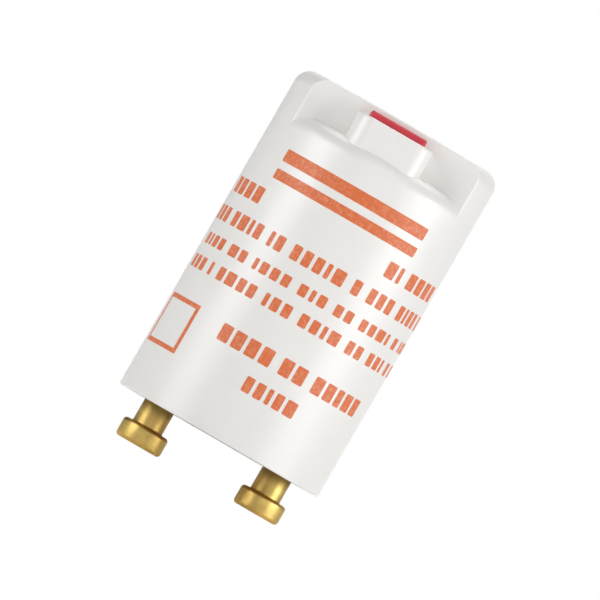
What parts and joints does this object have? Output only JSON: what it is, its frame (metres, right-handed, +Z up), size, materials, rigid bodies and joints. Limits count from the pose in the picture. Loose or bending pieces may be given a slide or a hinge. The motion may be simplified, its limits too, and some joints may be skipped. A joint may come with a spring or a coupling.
{
  "type": "fluorescent starter",
  "caption": "Starter for a fluorescent lamp: a white can with a grip bar and a red reset button on top, and mushroom contact pins below.",
  "frame": {"origin": "centre of the can's lower rim, in the plane that seats on the starter holder", "axes": "+Z up along the can's axis, away from the pins; the pins stand along X; -Y is the front, with the button's boss"},
  "size_m": [0.0214, 0.0214, 0.0388],
  "materials": {
    "can_plastic": "satin, moulded polycarbonate",
    "base_board": "sawn and punched paper laminate",
    "pin_brass": "turned, bright",
    "tinned_brass": "tinned",
    "bulb_glass": "clear, blown",
    "post_wire": "drawn",
    "bimetal": "rolled strip",
    "capacitor_coat": "dipped lacquer",
    "tinned_wire": "tinned copper",
    "carrier_plastic": "moulded",
    "contact_brass": "stamped",
    "contact_silver": "pressed silver",
    "heater_coat": "lacquered",
    "button_red": "satin, moulded",
    "spring_steel": "drawn wire"
  },
  "bodies": {
    "body": {"housing": "can_plastic", "base_plate": "base_board", "contact_pin_left": "pin_brass", "contact_pin_right": "pin_brass", "solder_tag_left": "tinned_brass", "solder_tag_right": "tinned_brass", "glow_bulb_glass": "bulb_glass", "glow_post_left": "post_wire", "glow_post_right": "post_wire", "glow_bimetal": "bimetal", "capacitor": "capacitor_coat", "capacitor_lead_left": "tinned_wire", "capacitor_lead_right": "tinned_wire", "switch_carrier": "carrier_plastic", "fixed_contact_left": "contact_brass", "fixed_contact_right": "contact_brass", "fixed_contact_tips": "contact_silver", "trip_bimetal": "bimetal", "trip_rivet": "tinned_brass", "heater_resistor": "heater_coat", "heater_link_wire": "tinned_wire", "glow_link_wire": "tinned_wire", "pin_link_wire": "tinned_wire", "button_spring": "spring_steel"},
    "button": {"reset_button": "button_red", "contact_bridge": "contact_brass", "bridge_contact_tips": "contact_silver"}
  },
  "joints": [
    {"name": "reset_button_slide", "type": "slide", "parent": "body", "child": "button", "axis": [0, 0, 1], "range_m": [0, 0.0016], "deforming": ["button_spring", "trip_bimetal"]}
  ]
}
